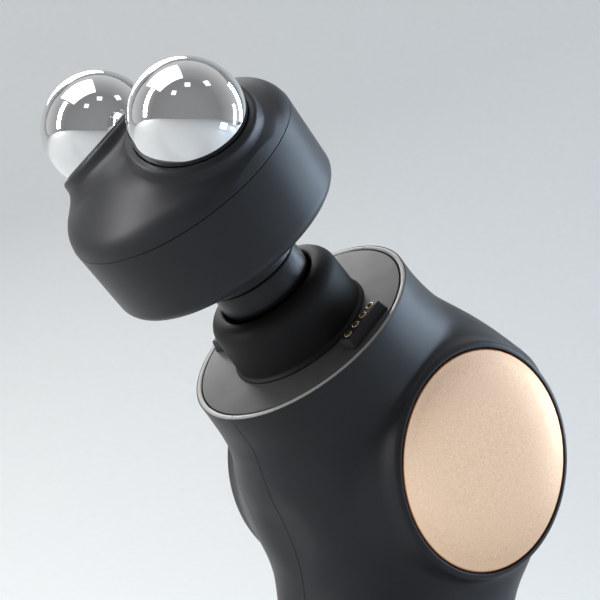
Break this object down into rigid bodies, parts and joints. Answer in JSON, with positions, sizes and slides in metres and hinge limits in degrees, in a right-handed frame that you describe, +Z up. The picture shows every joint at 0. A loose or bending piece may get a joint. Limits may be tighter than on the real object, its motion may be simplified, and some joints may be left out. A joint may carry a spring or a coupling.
{
  "type": "facial massager",
  "caption": "Hand-held percussive facial massager: bent rounded grip, round metal contact disc, stroking shaft and a pull-off roller head with polished balls.",
  "frame": {"origin": "centre of the flat base, at the bottom of the grip", "axes": "+Z up along the grip, -Y out of the gold contact disc, the head leans to -X"},
  "size_m": [0.1107, 0.0542, 0.1539],
  "materials": {
    "body": "satin soft-touch charcoal",
    "jet": "satin near-black",
    "plate": "matte mid grey",
    "gold": "bead-blasted, champagne gold anodised",
    "panel": "gloss black",
    "key": "satin",
    "light": "milky, translucent",
    "pin": "gold plated",
    "chrome": "mirror polished",
    "collar": "satin",
    "steel": "turned",
    "bronze": "sintered",
    "seal": "matte",
    "nylon": "natural nylon",
    "inner": "moulded grey",
    "board": "solder-masked glass laminate",
    "cell": "shrink sleeve"
  },
  "bodies": {
    "housing": {"front_shell": "body", "back_shell": "body", "contact_disc": "gold", "control_panel": "panel", "level_lights": "light", "switch_board": "board", "case_screw_outer": "steel", "case_screw_inner": "steel", "motor_can": "steel", "motor_shaft": "steel", "inner_frame": "inner", "battery": "cell", "main_board": "board", "base_cap": "body", "charge_pad_left": "pin", "charge_pad_right": "pin", "base_screw_front": "steel", "base_screw_back": "steel", "top_plate": "plate", "contact_block": "jet", "rear_key": "jet", "connector_board": "board", "shaft_boss": "jet", "shaft_bushing": "bronze", "shaft_seal": "seal"},
    "power_button": {"power_button": "key"},
    "intensity_button": {"intensity_button": "key"},
    "mode_button": {"mode_button": "key"},
    "crank": {"crank_disc": "steel"},
    "shaft": {"shaft_rod": "steel", "shaft_collar": "jet", "spigot_ring": "seal", "shaft_yoke": "nylon"},
    "head": {"collar_ring": "collar", "head_base": "body", "head_cap": "body", "roller_carrier": "inner", "roller_axle_front": "steel", "roller_axle_back": "steel"},
    "front_ball": {"roller_front": "chrome"},
    "back_ball": {"roller_back": "chrome"},
    "pin_1": {"contact_pin_1": "pin"},
    "pin_2": {"contact_pin_2": "pin"},
    "pin_3": {"contact_pin_3": "pin"},
    "pin_4": {"contact_pin_4": "pin"}
  },
  "joints": [
    {"name": "crank_turn", "type": "hinge", "parent": "housing", "child": "crank", "pos_m": [0, 0, 0.078], "axis": [0, -1, 0], "range_deg": [-90, 90]},
    {"name": "shaft_stroke", "type": "slide", "parent": "housing", "child": "shaft", "axis": [-0.7071, 0, 0.7071], "range_m": [-0.003, 0.003]},
    {"name": "head_pull_off", "type": "slide", "parent": "shaft", "child": "head", "axis": [-0.7071, 0, 0.7071], "range_m": [0, 0.014]},
    {"name": "front_ball_spin", "type": "hinge", "parent": "head", "child": "front_ball", "pos_m": [-0.06449, -0.01406, 0.14249], "axis": [-0.6556, -0.3746, 0.6556], "continuous": true},
    {"name": "back_ball_spin", "type": "hinge", "parent": "head", "child": "back_ball", "pos_m": [-0.06449, 0.01406, 0.14249], "axis": [-0.6556, 0.3746, 0.6556], "continuous": true},
    {"name": "power_button_press", "type": "slide", "parent": "housing", "child": "power_button", "axis": [0, -1, 0], "range_m": [0, 0.0005], "stiffness_N_per_m": 600},
    {"name": "intensity_button_press", "type": "slide", "parent": "housing", "child": "intensity_button", "axis": [0, -1, 0], "range_m": [0, 0.0005], "stiffness_N_per_m": 600},
    {"name": "mode_button_press", "type": "slide", "parent": "housing", "child": "mode_button", "axis": [0, -1, 0], "range_m": [0, 0.0005], "stiffness_N_per_m": 600},
    {"name": "pin_1_press", "type": "slide", "parent": "housing", "child": "pin_1", "axis": [0.7071, 0, -0.7071], "range_m": [0, 0.0007], "stiffness_N_per_m": 150},
    {"name": "pin_2_press", "type": "slide", "parent": "housing", "child": "pin_2", "axis": [0.7071, 0, -0.7071], "range_m": [0, 0.0007], "stiffness_N_per_m": 150},
    {"name": "pin_3_press", "type": "slide", "parent": "housing", "child": "pin_3", "axis": [0.7071, 0, -0.7071], "range_m": [0, 0.0007], "stiffness_N_per_m": 150},
    {"name": "pin_4_press", "type": "slide", "parent": "housing", "child": "pin_4", "axis": [0.7071, 0, -0.7071], "range_m": [0, 0.0007], "stiffness_N_per_m": 150}
  ],
  "couplings": [
    {"joint": "crank_turn", "follows": "shaft_stroke", "rad_per_m": 523.59}
  ]
}
